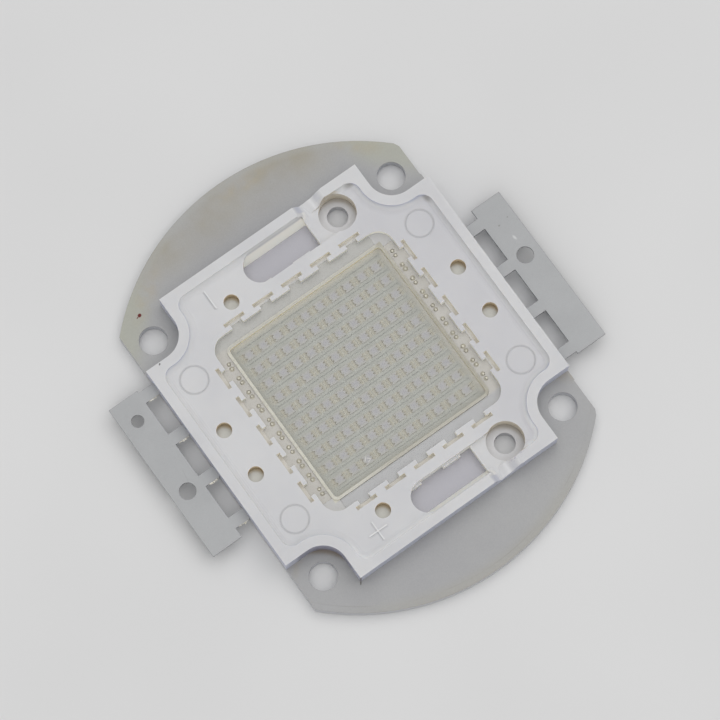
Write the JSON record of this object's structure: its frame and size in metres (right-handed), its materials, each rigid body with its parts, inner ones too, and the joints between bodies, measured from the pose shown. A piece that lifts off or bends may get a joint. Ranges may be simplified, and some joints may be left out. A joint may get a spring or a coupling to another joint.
{
  "type": "ultraviolet led",
  "caption": "Multi-chip ultraviolet power LED: a round-ended metal base with a white moulded frame, a square field of wired chips under clear silicone and a flat solder tab on each side.",
  "frame": {"origin": "middle of the base plate's underside", "axes": "+Z is the side that gives light, +X points to the positive lead, +Y to the frame's minus mark"},
  "size_m": [0.052, 0.056, 0.0043],
  "materials": {
    "plated_base": "satin nickel plate on copper",
    "white_moulding": "matt white moulded polyamide",
    "plated_lead": "satin silver plate on copper alloy sheet",
    "emitter_chip": "polished crystal",
    "gold_wire": "drawn gold wire",
    "clear_silicone": "clear glossy silicone"
  },
  "bodies": {
    "root": {"base_plate": "plated_base", "frame": "white_moulding", "negative_lead": "plated_lead", "positive_lead": "plated_lead", "encapsulant": "clear_silicone", "chip_row_01": "emitter_chip", "chip_row_02": "emitter_chip", "chip_row_03": "emitter_chip", "chip_row_04": "emitter_chip", "chip_row_05": "emitter_chip", "chip_row_06": "emitter_chip", "chip_row_07": "emitter_chip", "chip_row_08": "emitter_chip", "chip_row_09": "emitter_chip", "chip_row_10": "emitter_chip", "wire_row_01": "gold_wire", "wire_row_02": "gold_wire", "wire_row_03": "gold_wire", "wire_row_04": "gold_wire", "wire_row_05": "gold_wire", "wire_row_06": "gold_wire", "wire_row_07": "gold_wire", "wire_row_08": "gold_wire", "wire_row_09": "gold_wire", "wire_row_10": "gold_wire"}
  },
  "joints": []
}
